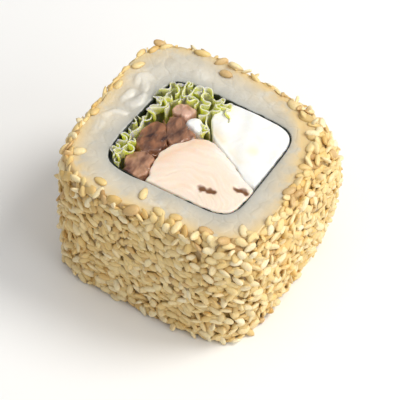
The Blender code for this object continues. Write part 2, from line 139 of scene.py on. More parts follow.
nori = {
    "centre": (1.6, -0.1),
    "shape": (13.2, 11.8, 6.3),      # half width, half depth, squareness
    "thickness": 0.27,
    "start": np.radians(200),        # where the inner end lies
    "overlap": np.radians(32),
    "ramp": np.radians(30),
    "fall": np.radians([8, 14]),     # the rice closes in so far past the outer end, in so long a stretch
    "layerGap": 0.06,                # between the sheet and itself
    "top": 27.9,
    "waver": 0.16,
    "sunk": (np.radians(258), np.radians(34), 0.3),  # where, over how much and how deep its edge dips
    "thinTop": 0.45,                 # share of the thickness lost at the upper edge
    "foot": 0.3,
    "columns": 520,
}


def noriRadius(angles):
    return roundedBox(angles, *nori["shape"])


def holePoints(angles, heights, clearance):
    # the rice's inner wall, round the outside of the nori
    pastStart = (angles - nori["start"] + nori["ramp"]) % fullTurn
    climb = ease(pastStart / nori["ramp"])
    fall = ease((pastStart - nori["ramp"] - nori["overlap"] - nori["fall"][0]) / nori["fall"][1])
    layers = climb * (1 - fall) * (nori["thickness"] + nori["layerGap"])
    radius = noriRadius(angles) + nori["thickness"] / 2 + clearance + layers
    flat = nori["centre"] + towards(angles) * radius[..., None]
    return np.concatenate([flat, np.asarray(heights)[..., None]], axis=-1)


def makePiece(name, points, faces, finish, marks):
    mesh = bpy.data.meshes.new(name)
    placed = (np.asarray(points) - rollMiddle) * mm
    mesh.from_pydata(placed.tolist(), [], faces)
    for markName, values in marks.items():
        layer = mesh.attributes.new(markName, "FLOAT", "POINT")
        layer.data.foreach_set("value", np.asarray(values, np.float32))
    mesh.materials.append(finish)
    mesh.shade_smooth()
    piece = bpy.data.objects.new(name, mesh)
    bpy.context.scene.collection.objects.link(piece)
    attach(piece, "root")
    print(name, len(mesh.vertices), "points")
    return piece


def gridFaces(rows, columns, closeColumns=True, closeRows=False):
    rowIndex = np.arange(rows if closeRows else rows - 1)[:, None]
    columnIndex = np.arange(columns if closeColumns else columns - 1)[None, :]
    nextRow = (rowIndex + 1) % rows
    nextColumn = (columnIndex + 1) % columns
    corners = [rowIndex * columns + columnIndex, rowIndex * columns + nextColumn,
               nextRow * columns + nextColumn, nextRow * columns + columnIndex]
    return np.stack(corners, axis=-1).reshape(-1, 4).tolist()


def bandFaces(rows, columns):
    # a strip closed round its section, with both its ends filled
    faces = gridFaces(rows, columns, closeColumns=False, closeRows=True)
    faces.append([row * columns for row in range(rows)])
    faces.append([row * columns + columns - 1 for row in reversed(range(rows))])
    return faces


def fanFaces(count, lowRow, highRow, lowTip, highTip):
    # triangles that close the first row to one tip and the last row to another
    faces = []
    for place in range(count):
        after = (place + 1) % count
        faces += [[lowTip, lowRow + after, lowRow + place], [highTip, highRow + place, highRow + after]]
    return faces


# Materials are wired with these few helpers
def plug(tree, value, socket):
    if isinstance(value, bpy.types.NodeSocket):
        tree.links.new(value, socket)
    else:
        socket.default_value = value


def newFinish(name, roughness, specular=0.5, scatter=(), coat=()):
    # scatter is how much, how deep in metres and how far for each colour; coat is how much and how rough
    finish = bpy.data.materials.new(name)
    finish.use_nodes = True
    inputs = finish.node_tree.nodes["Principled BSDF"].inputs
    inputs["Roughness"].default_value = roughness
    inputs["Specular IOR Level"].default_value = specular
    for socket, value in zip(("Subsurface Weight", "Subsurface Scale", "Subsurface Radius"), scatter):
        inputs[socket].default_value = value
    for socket, value in zip(("Coat Weight", "Coat Roughness"), coat):
        inputs[socket].default_value = value
    return finish, finish.node_tree


def addNode(tree, kind, inputs, **settings):
    node = tree.nodes.new(kind)
    for key, value in settings.items():
        setattr(node, key, value)
    for socket, value in inputs.items():
        plug(tree, value, node.inputs[socket])
    return node


def placeOn(tree, stretch=(1, 1, 1), turn=0):
    place = addNode(tree, "ShaderNodeTexCoord", {})
    turned = addNode(tree, "ShaderNodeMapping",
                     {"Vector": place.outputs["Object"], "Rotation": (0, 0, turn), "Scale": stretch})
    return turned.outputs["Vector"]


def noise(tree, size, place=None, detail=3.0, twist=0.0):
    # size is in millimetres
    vector = place if place is not None else placeOn(tree)
    node = addNode(tree, "ShaderNodeTexNoise", {"Vector": vector, "Scale": 1 / (size * mm), "Detail": detail,
                                                "Roughness": 0.55, "Distortion": twist})
    return node.outputs["Fac"]


def ramp(tree, value, stops):
    node = addNode(tree, "ShaderNodeValToRGB", {"Fac": value})
    band = node.color_ramp
    while len(band.elements) < len(stops):
        band.elements.new(0.5)
    for element, (place, colour) in zip(band.elements, stops):
        element.position = place
        element.color = (*colour, 1)
    return node.outputs["Color"]


def blend(tree, share, first, second):
    node = addNode(tree, "ShaderNodeMix", {}, data_type="RGBA")
    for place, value in ((0, share), (6, first), (7, second)):
        plug(tree, (*value, 1) if isinstance(value, tuple) else value, node.inputs[place])
    return node.outputs[2]


def mark(tree, name):
    return addNode(tree, "ShaderNodeAttribute", {}, attribute_name=name).outputs["Fac"]


def reshape(tree, value, low, high, newLow=0.0, newHigh=1.0):
    node = addNode(tree, "ShaderNodeMapRange", {"Value": value, "From Min": low, "From Max": high,
                                                "To Min": newLow, "To Max": newHigh})
    return node.outputs["Result"]


def times(tree, first, second):
    return addNode(tree, "ShaderNodeMath", {0: first, 1: second}, operation="MULTIPLY").outputs[0]


def complete(finish, colour, height, depth, strength, wet=False):
    # depth is in millimetres; a wet surface glints along its relief
    tree = finish.node_tree
    shader = tree.nodes["Principled BSDF"]
    tree.links.new(colour, shader.inputs["Base Color"])
    bump = addNode(tree, "ShaderNodeBump", {"Height": height, "Distance": depth * mm, "Strength": strength})
    for socket in ("Normal", "Coat Normal") if wet else ("Normal",):
        tree.links.new(bump.outputs["Normal"], shader.inputs[socket])
    return finish


# The rice: a ring with cut grains on both cuts
rice = {
    "columns": 600,
    "cutRows": 46,
    "footRows": 34,
    "footLevel": 0.02,               # of the lower cut
    "holeLevels": (27.2, 26.2, 24, 20, 14, 8, 4, 1.5, 0.5),
    "wallBumps": (0.16, 1.6),        # height and size
    "grain": (4.3, 2.2),             # length and width
    "tries": 5000, "reach": 23,      # places tried for a grain, and how far out
    "apart": 4.6**0.5,
    "crease": 0.07,                  # depth of the line between grains
    "step": 0.035,                   # how far grains stand over one another
    "waviness": 0.16,
    "clearance": -0.02,              # to the nori
    "holeEdge": (0.12, 0.3),         # depth and width of the rounding beside the nori
    "lumps": [                       # raised grains: x, y, length, width, heading, height
        (-13.7, 2.9, 4.4, 2.4, 65, 0.4), (-15.9, 3.4, 4.4, 2.3, 100, 0.36), (-15.4, -1.4, 4.6, 2.4, 35, 0.36),
        (-15.7, 8.1, 4.6, 2.6, 70, 0.34), (-14.3, 6.2, 4.0, 2.2, 120, 0.26),
        (-16.2, -5.6, 4.4, 2.2, 80, 0.12), (-8.0, 14.4, 4.4, 2.2, 10, 0.12),
        (1.6, -14.9, 4.4, 2.2, 20, 0.12), (8.4, 14.8, 4.4, 2.0, 170, 0.1),
    ],
    "ragged": 0.45,                  # how uneven the outline of a raised grain is
}


def spreadOut(points, spacing):
    # indices of points kept in their order, none nearer to an earlier one than the spacing
    kept = np.empty(points.shape)
    chosen = []
    for index, point in enumerate(points):
        if not chosen or ((kept[:len(chosen)] - point) ** 2).sum(axis=1).min() > spacing**2:
            kept[len(chosen)] = point
            chosen.append(index)
    return np.array(chosen)


def cutGrains(flat, seed):
    # which grain each point of a cut lies on: its tone, its height and how near its edge is
    draw = np.random.default_rng(seed)
    long, wide = rice["grain"]
    centres = draw.uniform(-rice["reach"], rice["reach"], (rice["tries"], 2))
    centres = centres[spreadOut(centres, rice["apart"])]
    heading = draw.uniform(0, np.pi, len(centres))
    length = long * draw.uniform(0.6, 1.05, len(centres))
    width = wide * draw.uniform(0.8, 1.1, len(centres))
    away = flat[:, None] - centres
    along = (away * towards(heading)).sum(axis=-1) / length
    aside = (away * towards(heading + np.pi / 2)).sum(axis=-1) / width
    reach = np.sqrt(along**2 + aside**2)
    order = np.argsort(reach, axis=1)[:, :2]
    rows = np.arange(len(flat))
    nearest = order[:, 0]
    edge = np.clip((reach[rows, order[:, 1]] - reach[rows, nearest]) / 0.3, 0, 1)
    tone = draw.uniform(0, 1, len(centres))[nearest]
    tilt = draw.normal(0, 1, len(centres))[nearest] * along[rows, nearest]
    return tone, tilt, edge


def riceRing():
    columns, height, farOff = rice["columns"], rollBody["height"], 9.0
    angles = gathered(np.linspace(0, fullTurn, columns, endpoint=False))
    rows, states = [], []

    def wallAt(level):
        return wallPoints(angles, np.full(columns, level))

    def holeAt(level):
        return holePoints(angles, np.full(columns, level), rice["clearance"])

    def addRow(points, *state):
        # which cut it is on, whether it is on the wall, and how far off nori and rim are
        rows.append(points)
        states.append([np.broadcast_to(value, columns) for value in state])

    edgeDepth, edgeWidth = rice["holeEdge"]
    rise = np.concatenate([[0.06, 0.2, 0.45, 0.8], np.linspace(1.3, 16, 14),
                           16.2 + 11.78 * (1 - (1 - np.linspace(0.03, 1, 24)) ** 2.2)])
    for level in rise:
        addRow(wallAt(level), 0, 1, farOff, max(0, height - level))
    rim, hole = wallAt(height), holeAt(height)
    width = np.linalg.norm(rim - hole, axis=1)
    for share in 1 - (1 - np.linspace(0.02, 1, rice["cutRows"])) ** 1.1:
        row = rim * (1 - share) + hole * share
        toHole = width * (1 - share)
        row[:, 2] -= edgeDepth * np.clip(1 - toHole / edgeWidth, 0, 1) ** 2
        addRow(row, 1, 0, toHole, width * share)
    for level in rice["holeLevels"]:
        addRow(holeAt(level), 0, 0, 0.0, farOff)
    foot, innerFoot = wallAt(rice["footLevel"]), holeAt(rice["footLevel"])
    for share in np.linspace(1, 0, rice["footRows"]):
        row = foot * (1 - share) + innerFoot * share
        toHole = width * (1 - share)
        row[:, 2] += edgeDepth * np.clip(1 - toHole / edgeWidth, 0, 1) ** 2
        addRow(row, -1, 0, toHole, width * share)
    points = np.concatenate(rows)
    onTop, onWall, toNori, toRim = np.concatenate(states, axis=1)
    nearNori, nearRim = np.exp(-toNori / 1.7), np.exp(-toRim / 2.1)

    tone = np.full(len(points), 0.5)
    raised = np.zeros(len(points))
    for side, seed in ((1, 3), (-1, 8)):
        at = onTop == side
        flat = points[at, :2]
        grainTone, tilt, edge = cutGrains(flat + 0.25 * straying(flat, 1.4, seed + 20, seed + 21), seed)
        tone[at] = grainTone
        fade = np.clip(1 - nearNori[at] ** 1.7, 0, 1) * np.clip(1.25 - nearRim[at], 0, 1)
        relief = (rice["step"] * (tilt + (grainTone - 0.5) * 2) - rice["crease"] * (1 - edge) ** 2) * fade
        relief += rice["waviness"] * unevenness(flat, 4.0, seed + 30) * fade
        stray = rice["ragged"] * straying(flat, 2.2, 33, 34)
        for x, y, long, wide, heading, lift in rice["lumps"]:
            away = flat + stray - (x, y)
            along = away @ towards(np.radians(heading)) / (long / 2)
            aside = away @ towards(np.radians(heading) + np.pi / 2) / (wide / 2)
            dome = ease(1 - along**2 - aside**2)
            if side == 1:
                relief = relief + lift * dome
                raised[at] = np.maximum(raised[at], dome * lift / 0.4)
        if side == 1:
            points[at, 2] += relief
        else:
            points[at, 2] += np.clip(0.12 - relief, 0, 1)
    lumpy = onWall > 0
    bump, bumpSize = rice["wallBumps"]
    outward = unit(np.column_stack([points[:, :2] - [0.5, 0], np.zeros(len(points))]))
    points[lumpy] += outward[lumpy] * (bump * unevenness(points[lumpy], bumpSize, 41))[:, None]
    faces = gridFaces(len(rows), columns, closeRows=True)
    marks = {"grainTone": tone, "nearNori": nearNori, "nearRim": nearRim, "raised": raised, "onWall": onWall}
    return makePiece("rice_ring", points, faces, riceFinish(), marks)


def riceFinish():
    finish, tree = newFinish("moistRice", roughness=0.38, specular=0.45, coat=(0.15, 0.25),
                             scatter=(0.55, 0.0016, (1.0, 0.92, 0.75)))
    body = ramp(tree, mark(tree, "grainTone"), [
        (0.0, (0.635, 0.60, 0.52)), (0.5, (0.655, 0.62, 0.535)), (1.0, (0.69, 0.65, 0.56))])
    cloudy = reshape(tree, noise(tree, 3.0, detail=4), 0.35, 0.7)
    body = blend(tree, times(tree, cloudy, 0.5), body, (0.77, 0.71, 0.59))
    streaky = reshape(tree, noise(tree, 1.1, placeOn(tree, (1, 0.5, 1), 0.7), detail=4, twist=0.6), 0.5, 0.72)
    body = blend(tree, times(tree, streaky, 0.55), body, (0.80, 0.78, 0.70))
    clear = reshape(tree, noise(tree, 5.5, detail=3), 0.42, 0.62, 0.1, 0.75)
    body = blend(tree, clear, body, (0.52, 0.505, 0.455))
    # blue-grey towards the nori: part nori stain, part painted shade
    body = blend(tree, times(tree, mark(tree, "nearNori"), 0.72), body, (0.37, 0.385, 0.375))
    patchy = reshape(tree, noise(tree, 2.4, detail=2), 0.3, 0.5, 0.25, 1.0)
    body = blend(tree, times(tree, mark(tree, "nearRim"), patchy), body, (0.80, 0.60, 0.30))
    body = blend(tree, times(tree, mark(tree, "raised"), 0.6), body, (0.84, 0.81, 0.74))
    # under the seeds the rice is painted dark brown as the shadow in the gaps between the seeds, turning
    # golden near the rim
    seedGapShadowRimGold = blend(tree, mark(tree, "nearRim"), (0.30, 0.185, 0.055), (0.78, 0.57, 0.28))
    body = blend(tree, mark(tree, "onWall"), body, seedGapShadowRimGold)
    return complete(finish, body, noise(tree, 0.5, detail=4), 0.12, 0.5)


riceBody = riceRing()
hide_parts("rice_with_sesame")

# The sesame seeds on the wall, in two layers, with a few fallen on the upper cut
sesame = {
    "size": (2.7, 1.55, 0.8),        # length, width, thickness
    "sides": 7,
    "stations": (0.03, 0.16, 0.38, 0.64, 0.88),
    "layers": [                      # spacing, lift off the rice, spread of tilt in degrees, tone, lower for the under layer as painted shade
        (1.2, 0.03, 14, 0.36), (1.62, 0.4, 27, 0.62),
    ],
    "toneSpread": 0.15,
    "tries": 16000,
    "highest": 27.85,
    "slant": -32,                    # the way most seeds lean, in degrees from level
    "kinds": {                       # share, and colours from dark to light
        "sesame_pale": (0.80, (0.67, 0.43, 0.15), (0.84, 0.63, 0.28), (0.95, 0.84, 0.58)),
        "sesame_golden": (0.17, (0.64, 0.40, 0.13), (0.80, 0.56, 0.21), (0.88, 0.70, 0.36)),
        "sesame_toasted": (0.03, (0.46, 0.26, 0.09), (0.62, 0.40, 0.16), (0.74, 0.53, 0.26)),
    },
    "fallen": [                      # seeds lying on the upper cut: x, y, heading
        (-0.9, -14.6, 100), (20.0, -0.9, 60), (-17.8, 17.0, 20), (-18.2, 10.4, 60), (6.6, -16.2, 10),
        (-15.6, -12.4, 40), (17.8, -12.6, 130), (-3.6, 16.8, 0), (10.4, 16.6, 160), (-18.6, 4.4, 85),
        (18.0, 9.8, 100), (3.4, -16.6, 165), (12.6, -16.0, 15), (-8.8, -16.2, 170), (-18.6, -3.2, 80),
    ],
}


def seedShape():
    # a closed drop along X with its blunt end back, flattened: its points, quads and triangles
    turns = np.linspace(0, fullTurn, sesame["sides"], endpoint=False)
    points = [[[-0.5, 0, 0]]]
    for along in sesame["stations"]:
        fat = 0.5 * (1 - along) ** 0.62 * along**0.42 / 0.49
        points.append(np.column_stack([
            np.full(len(turns), along - 0.5), fat * np.cos(turns),
            fat * np.sign(np.sin(turns)) * np.abs(np.sin(turns)) ** 0.8]))
    points.append([[0.5, 0, 0]])
    points = np.concatenate(points)
    sides, last = sesame["sides"], len(points) - 1
    quads = np.array(gridFaces(len(sesame["stations"]), sides)) + 1
    return points, quads, np.array(fanFaces(sides, 1, last - sides, 0, last))


def wallFrames(angles, heights):
    step = 1e-4
    here = wallPoints(angles, heights)
    around = unit(wallPoints(angles + step, heights) - here)
    upward = unit(here - wallPoints(angles, heights - step))
    return here, around, upward, unit(np.cross(around, upward))


def turnedFrames(along, outward, tilt, roll):
    # rows of each seed's own axes, leaning out by tilt and rolled about its length
    side = np.cross(outward, along)
    leaning = along * np.cos(tilt)[:, None] + outward * np.sin(tilt)[:, None]
    facing = np.cross(leaning, side)
    rolledSide = side * np.cos(roll)[:, None] + facing * np.sin(roll)[:, None]
    return np.stack([leaning, rolledSide, np.cross(leaning, rolledSide)], axis=1)


def scatterSeeds():
    draw = np.random.default_rng(17)
    centres, frames, tones = [], [], []
    for spacing, lift, spread, tone in sesame["layers"]:
        angles = draw.uniform(0, fullTurn, sesame["tries"])
        heights = rollBody["height"] * (1 - draw.beta(1, 1.15, sesame["tries"]) * 0.985) - 0.05
        here, around, upward, outward = wallFrames(angles, np.clip(heights, 0.5, sesame["highest"]))
        picked = spreadOut(here, spacing)
        here, around, upward, outward = (part[picked] for part in (here, around, upward, outward))
        slanted = draw.random(len(picked)) < 0.5
        turn = np.where(slanted, np.radians(draw.normal(sesame["slant"], 24, len(picked))),
                        draw.uniform(0, np.pi, len(picked)))
        turn = turn + np.pi * (draw.random(len(picked)) < 0.5)
        along = around * np.cos(turn)[:, None] + upward * np.sin(turn)[:, None]
        tilt = np.radians(draw.normal(0, spread, len(picked)))
        roll = np.radians(draw.normal(0, spread * 1.3, len(picked)))
        frames.append(turnedFrames(along, outward, tilt, roll))
        centres.append(here + outward * (lift + draw.uniform(-0.08, 0.1, len(picked)))[:, None])
        # the under layer's lower tone is painted shade between the seeds
        tones.append(draw.normal(tone, sesame["toneSpread"], len(picked)))
    fallen = np.array(sesame["fallen"], float)
    heading = np.radians(fallen[:, 2])
    along = np.column_stack([towards(heading), np.zeros(len(fallen))])
    outward = np.tile([0.0, 0.0, 1.0], (len(fallen), 1))
    frames.append(turnedFrames(along, outward, np.radians(draw.normal(0, 6, len(fallen))),
                               np.radians(draw.normal(0, 14, len(fallen)))))
    centres.append(np.column_stack([fallen[:, :2], np.full(len(fallen), rollBody["height"] + 0.16)]))
    tones.append(draw.normal(0.6, sesame["toneSpread"], len(fallen)))
    return np.concatenate(centres), np.concatenate(frames), np.concatenate(tones), draw


def seedFinish(name, dark, middle, light):
    finish, tree = newFinish(name, roughness=0.42, specular=0.4, scatter=(0.12, 0.0006, (1.0, 0.7, 0.4)))
    hull = ramp(tree, mark(tree, "seedTone"), [(0.0, dark), (0.45, middle), (1.0, light)])
    streaks = noise(tree, 0.35, detail=3)
    hull = blend(tree, reshape(tree, streaks, 0.45, 0.75, 0.0, 0.35), hull, dark)
    tip = reshape(tree, mark(tree, "seedAlong"), 0.8, 1.0, 0.0, 0.55)
    hull = blend(tree, tip, hull, tuple(0.6 * part for part in dark))
    return complete(finish, hull, streaks, 0.05, 0.5)


def sesameCoat():
    shape, quads, triangles = seedShape()
    centres, frames, tones, draw = scatterSeeds()
    count = len(centres)
    sizes = np.array(sesame["size"]) * draw.normal(1, 0.07, (count, 3))
    spots = np.einsum("smk,skj->smj", shape[None] * sizes[:, None], frames) + centres[:, None]
    low, high = (np.array(corner) / mm + rollMiddle for corner in (cadLow, cadHigh))
    spots += np.clip(low - spots.min(axis=1), 0, None)[:, None]
    spots -= np.clip(spots.max(axis=1) - high, 0, None)[:, None]
    golden = np.clip((centres[:, 2] - 23) / 5, 0, 1) * 0.25
    lot = np.clip(draw.random(count) + golden * draw.random(count), 0, 0.999)
    tone = np.clip(tones, 0, 1)
    first = 0.0
    for name, (share, dark, middle, light) in sesame["kinds"].items():
        picked = np.flatnonzero((lot >= first) & (lot < first + share))
        first += share
        shift = (np.arange(len(picked)) * len(shape))[:, None, None]
        faces = [*(quads[None] + shift).reshape(-1, 4).tolist(),
                 *(triangles[None] + shift).reshape(-1, 3).tolist()]
        marks = {"seedTone": np.repeat(tone[picked], len(shape)),
                 "seedAlong": np.tile(shape[:, 0] + 0.5, len(picked))}
        finish = seedFinish(name, dark, middle, light)
        piece = makePiece(name, spots[picked].reshape(-1, 3), faces, finish, marks)
        print(name, len(picked), "seeds")


sesameCoat()


# The nori sheet, wound round the filling with its outer end over its inner end
def noriSheet():
    columns = nori["columns"]
    angles = gathered(nori["start"] + np.linspace(0, fullTurn + nori["overlap"], columns))
    climb = ease((angles - nori["start"] - fullTurn + nori["ramp"]) / nori["ramp"])
    radius = noriRadius(angles) + climb * (nori["thickness"] + nori["layerGap"])
    walk = np.column_stack([radius * np.cos(angles), radius * np.sin(angles), climb * 3])
    crinkle = 0.045 * unevenness(walk, 0.9, 51)
    top = nori["top"] + nori["waver"] * unevenness(walk, 1.5, 52) + 0.06 * unevenness(walk, 0.4, 53)
    where, width, depth = nori["sunk"]
    top -= depth * np.exp(-((((angles - where + np.pi) % fullTurn - np.pi) / width) ** 2))
    rows = []
    levels = [0, 0.3, 0.6, 0.8, 0.9, 0.96, 0.985, 1]
    for side, steps in ((-1, levels[::-1]), (1, levels)):
        for level in steps:
            half = nori["thickness"] / 2 * (1 - nori["thinTop"] * level**12)
            height = nori["foot"] + (top - nori["foot"]) * level
            reach = radius + side * half + crinkle * level
            flat = nori["centre"] + towards(angles) * reach[:, None]
            rows.append(np.column_stack([flat, height]))
    finish, tree = newFinish("dampNori", roughness=0.34, specular=0.5)
    body = ramp(tree, noise(tree, 0.8, detail=5), [
        (0.3, (0.006, 0.009, 0.008)), (0.6, (0.016, 0.024, 0.018)), (0.8, (0.035, 0.05, 0.03))])
    complete(finish, body, noise(tree, 0.3, detail=5), 0.12, 0.9)
    return makePiece("nori_sheet", np.concatenate(rows), bandFaces(len(rows), columns), finish, {})


sheet = noriSheet()
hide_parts("nori")


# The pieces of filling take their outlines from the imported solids
def solidOutline(nodeName, height=16.3):
    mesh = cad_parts[nodeName].data
    spots = np.array([vertex.co for vertex in mesh.vertices]) / mm + rollMiddle
    ends = {}
    for polygon in mesh.polygons:
        corners = spots[list(polygon.vertices)]
        crossings = []
        for here, there in zip(corners, np.roll(corners, -1, axis=0)):
            if (here[2] > height) != (there[2] > height):
                share = (height - here[2]) / (there[2] - here[2])
                crossings.append(tuple(np.round(here[:2] + (there[:2] - here[:2]) * share, 3)))
        if len(crossings) == 2:
            for here, there in (crossings, crossings[::-1]):
                ends.setdefault(here, []).append(there)
    outline = [next(iter(ends))]
    while len(outline) < len(ends):
        nextOnes = [spot for spot in ends[outline[-1]] if spot not in outline[-2:]]
        if not nextOnes or nextOnes[0] == outline[0]:
            break
        outline.append(nextOnes[0])
    outline = np.array(outline)
    turning = outline[:, 0] * np.roll(outline[:, 1], -1) - np.roll(outline[:, 0], -1) * outline[:, 1]
    return outline if turning.sum() > 0 else outline[::-1]


def walkedAlong(line):
    return np.concatenate([[0], np.cumsum(np.linalg.norm(np.diff(line, axis=0), axis=1))])


def onLine(line, walked, where):
    return np.column_stack([np.interp(where, walked, line[:, axis]) for axis in (0, 1)])


def insideNori(flat, clearance):
    # the way from the nori's centre to each point, its length and how long it may be
    away = flat - nori["centre"]
    limit = noriRadius(np.arctan2(away[:, 1], away[:, 0])) - nori["thickness"] / 2 - clearance
    return away, np.linalg.norm(away, axis=1), limit


def evenOutline(outline, count, grow, press, ragged, openSide):
    # evenly spaced points round the outline, rounded off and grown outwards
    closed = np.vstack([outline, outline[:1]])
    walked = walkedAlong(closed)
    even = onLine(closed, walked, np.linspace(0, walked[-1], count, endpoint=False))
    roundings = int(0.012 * count)
    for _ in range(roundings):
        even = even * 0.5 + 0.25 * (np.roll(even, 1, axis=0) + np.roll(even, -1, axis=0))
    along = np.roll(even, -1, axis=0) - np.roll(even, 1, axis=0)
    outward = unit(np.column_stack([along[:, 1], -along[:, 0]]))
    even = even + outward * (grow + ragged * unevenness(even, 0.9, 66))[:, None]
    # where the nori is near, the filling presses against it
    away, reach, limit = insideNori(even, 0.05)
    room = limit - reach
    off = (np.arctan2(away[:, 1], away[:, 0]) - openSide[0] + np.pi) % fullTurn - np.pi
    closeness = 1 - np.exp(-((off / openSide[1]) ** 2))
    pressed = reach + room * ease((press - room) / 0.5) * closeness
    return nori["centre"] + away * (pressed / reach)[:, None]


def fillingPiece(name, nodeName, settings, relief, finish, marksOf):
    # a length of filling from cut to cut, both ends finely modelled
    outline = evenOutline(solidOutline(nodeName), settings["around"], settings["grow"], settings["press"],
                          settings["ragged"], settings.get("openSide", (0.0, 0.001)))
    count, middle = len(outline), outline.mean(axis=0)
    spokes = outline - middle
    reach = np.linalg.norm(spokes, axis=1)
    shares = np.linspace(1, 0.03, max(6, int(reach.mean() / settings["pitch"]))) ** 0.9
    top, foot, edge = rollBody["height"] - settings["sink"], settings["foot"], settings["edge"]

    def cap(upper):
        made = []
        for share in (shares if upper else shares[::-1]):
            flat = middle + spokes * share
            toEdge = reach * (1 - share)
            drop = edge * (1 - np.sqrt(1 - np.clip(1 - toEdge / edge, 0, 1) ** 2))
            swell = settings["crown"] * (1 - share**2)
            if upper:
                height = top - drop + swell + relief(flat) * np.clip(toEdge / 0.3, 0.25, 1)
            else:
                height = foot + drop * 0.5 + np.clip(-relief(flat + 40), 0, 1) * 0.5
            made.append(np.column_stack([flat, height]))
        return made

    below = cap(False)
    above = cap(True)
    side = []
    for level in np.linspace(0, 1, 9)[1:-1]:
        bulge = 1 + 0.004 * unevenness(np.column_stack([outline, np.full(count, level * 20)]), 3.0, 61)
        flat = middle + spokes * bulge[:, None]
        side.append(np.column_stack([flat, foot + (top - foot) * level + np.zeros(count)]))
    rows = [*below, *side, *above]
    tips = [[*middle, below[0][:, 2].mean()], [*middle, above[-1][:, 2].mean()]]
    points = np.concatenate([*rows, tips])
    last = len(points) - 1
    faces = gridFaces(len(rows), count) + fanFaces(count, 0, (len(rows) - 1) * count, last - 1, last)
    return makePiece(name, points, faces, finish, marksOf(points))


def nearLine(flat, start, end):
    start, end = np.array(start), np.array(end)
    along = end - start
    share = np.clip((flat - start) @ along / (along @ along), 0, 1)
    return np.linalg.norm(flat - start - share[:, None] * along, axis=1)


# The cream cheese
cheese = {
    "around": 300, "pitch": 0.2, "grow": 0.17, "sink": 0.0, "crown": 0.22, "edge": 0.3, "foot": 0.0,
    "press": 1.9,                    # how near the nori has to be for the filling to touch it
    "openSide": (np.radians(8), np.radians(20)),  # where it stays clear of the nori, and over how much
    "ragged": 0.04,                  # unevenness of the outline
    "smearHeading": np.radians(62),
    "smear": 0.012,                  # depth of the knife's smears
    "lumps": 0.12,
    "stain": (10.1, 3.5),            # a pale green mark of lettuce juice
}


def cheeseRelief(flat):
    along = flat @ towards(cheese["smearHeading"])
    aside = flat @ towards(cheese["smearHeading"] + np.pi / 2)
    smears = unevenness(np.column_stack([aside, along * 0.16]), 0.5, 71)
    return cheese["smear"] * smears + cheese["lumps"] * unevenness(flat, 2.2, 72)


def cheeseMarks(points):
    flat = points[:, :2]
    away = np.linalg.norm(flat - cheese["stain"], axis=1)
    patch = np.exp(-((away / 1.1) ** 2)) * (points[:, 2] > 25)
    toChicken = np.exp(-nearLine(flat, (1.9, 3.9), (4.4, 2.7)) / 0.9)
    toChicken += 0.6 * np.exp(-nearLine(flat, (6.6, 1.6), (9.4, 0.2)) / 0.7)
    toChicken = np.clip(toChicken, 0, 1) * (points[:, 2] > 25)
    return {"stained": patch, "peachy": toChicken}


def cheeseFinish():
    finish, tree = newFinish("creamCheese", roughness=0.4, specular=0.45,
                             scatter=(0.5, 0.0012, (1.0, 0.9, 0.75)))
    body = ramp(tree, noise(tree, 2.2, detail=4), [(0.3, (0.95, 0.93, 0.87)), (0.65, (0.97, 0.96, 0.93))])
    body = blend(tree, times(tree, mark(tree, "stained"), 0.5), body, (0.80, 0.86, 0.42))
    body = blend(tree, times(tree, mark(tree, "peachy"), 0.9), body, (0.95, 0.80, 0.60))
    return complete(finish, body, noise(tree, 0.4, detail=4), 0.1, 0.5)


cheeseMaterial = cheeseFinish()
cheeseBlock = fillingPiece("cream_cheese_block", "cream_cheese", cheese, cheeseRelief, cheeseMaterial,
                           cheeseMarks)
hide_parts("cream_cheese")
dab = {**cheese, "around": 110, "pitch": 0.16, "crown": 0.35, "edge": 0.6}
cheeseDab = fillingPiece("cream_cheese_dab", "cheese_dab", dab, cheeseRelief, cheeseMaterial, cheeseMarks)
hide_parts("cheese_dab")

# The chicken
chicken = {
    "around": 320, "pitch": 0.17, "grow": 0.17, "sink": 0.1, "crown": 0.4, "edge": 0.36, "foot": 0.0,
    "press": 1.6, "ragged": 0.07,
    "grainCentre": (4.5, -14.0),     # the fibres bend round this point
    "fibres": 0.015,
    "strands": 0.018,
    "flakes": 0.02,
    "browned": [((6.6, -8.5), (8.9, -8.0), 0.62), ((12.0, -5.2), (13.7, -5.0), 0.6)],
}


def fibreSpace(flat):
    away = flat - chicken["grainCentre"]
    radius = np.linalg.norm(away, axis=1)
    return radius + 0.35 * unevenness(flat, 2.5, 83), np.arctan2(away[:, 1], away[:, 0]) * 8


def strandField(across, along):
    return unevenness(np.column_stack([across, along * 0.14]), 0.55, 82)


def chickenRelief(flat):
    across, along = fibreSpace(flat)
    fibres = unevenness(np.column_stack([across, along * 0.1]), 0.2, 81)
    strands = strandField(across, along)
    flake = (across / 2.1 + 0.25 * unevenness(flat, 3.0, 84)) % 1
    relief = chicken["fibres"] * fibres + chicken["strands"] * strands + chicken["flakes"] * (flake - 0.5)
    for start, end, width in chicken["browned"]:
        relief = relief - 0.3 * np.exp(-((nearLine(flat, start, end) / width) ** 2))
    return relief


def chickenMarks(points):
    flat = points[:, :2]
    upper = points[:, 2] > 22
    brown = np.zeros(len(points))
    for start, end, width in chicken["browned"]:
        ragged = nearLine(flat, start, end) + 0.22 * unevenness(flat, 0.6, 85)
        brown = np.maximum(brown, ease(1.35 - ragged / width))
    strand = 0.5 + 0.35 * strandField(*fibreSpace(flat))
    edgeTan = np.exp(-nearLine(flat, (-3.0, -6.5), (0.6, 0.8)) / 0.9)
    edgeTan += 0.7 * np.exp(-nearLine(flat, (0.6, 0.8), (4.0, 0.7)) / 0.8)
    creamy = np.exp(-nearLine(flat, (4.5, 0.6), (13.6, -3.6)) / 1.2)
    return {"browned": brown * upper, "strand": np.clip(strand, 0, 1), "tanned": np.clip(edgeTan, 0, 1),
            "creamy": creamy}


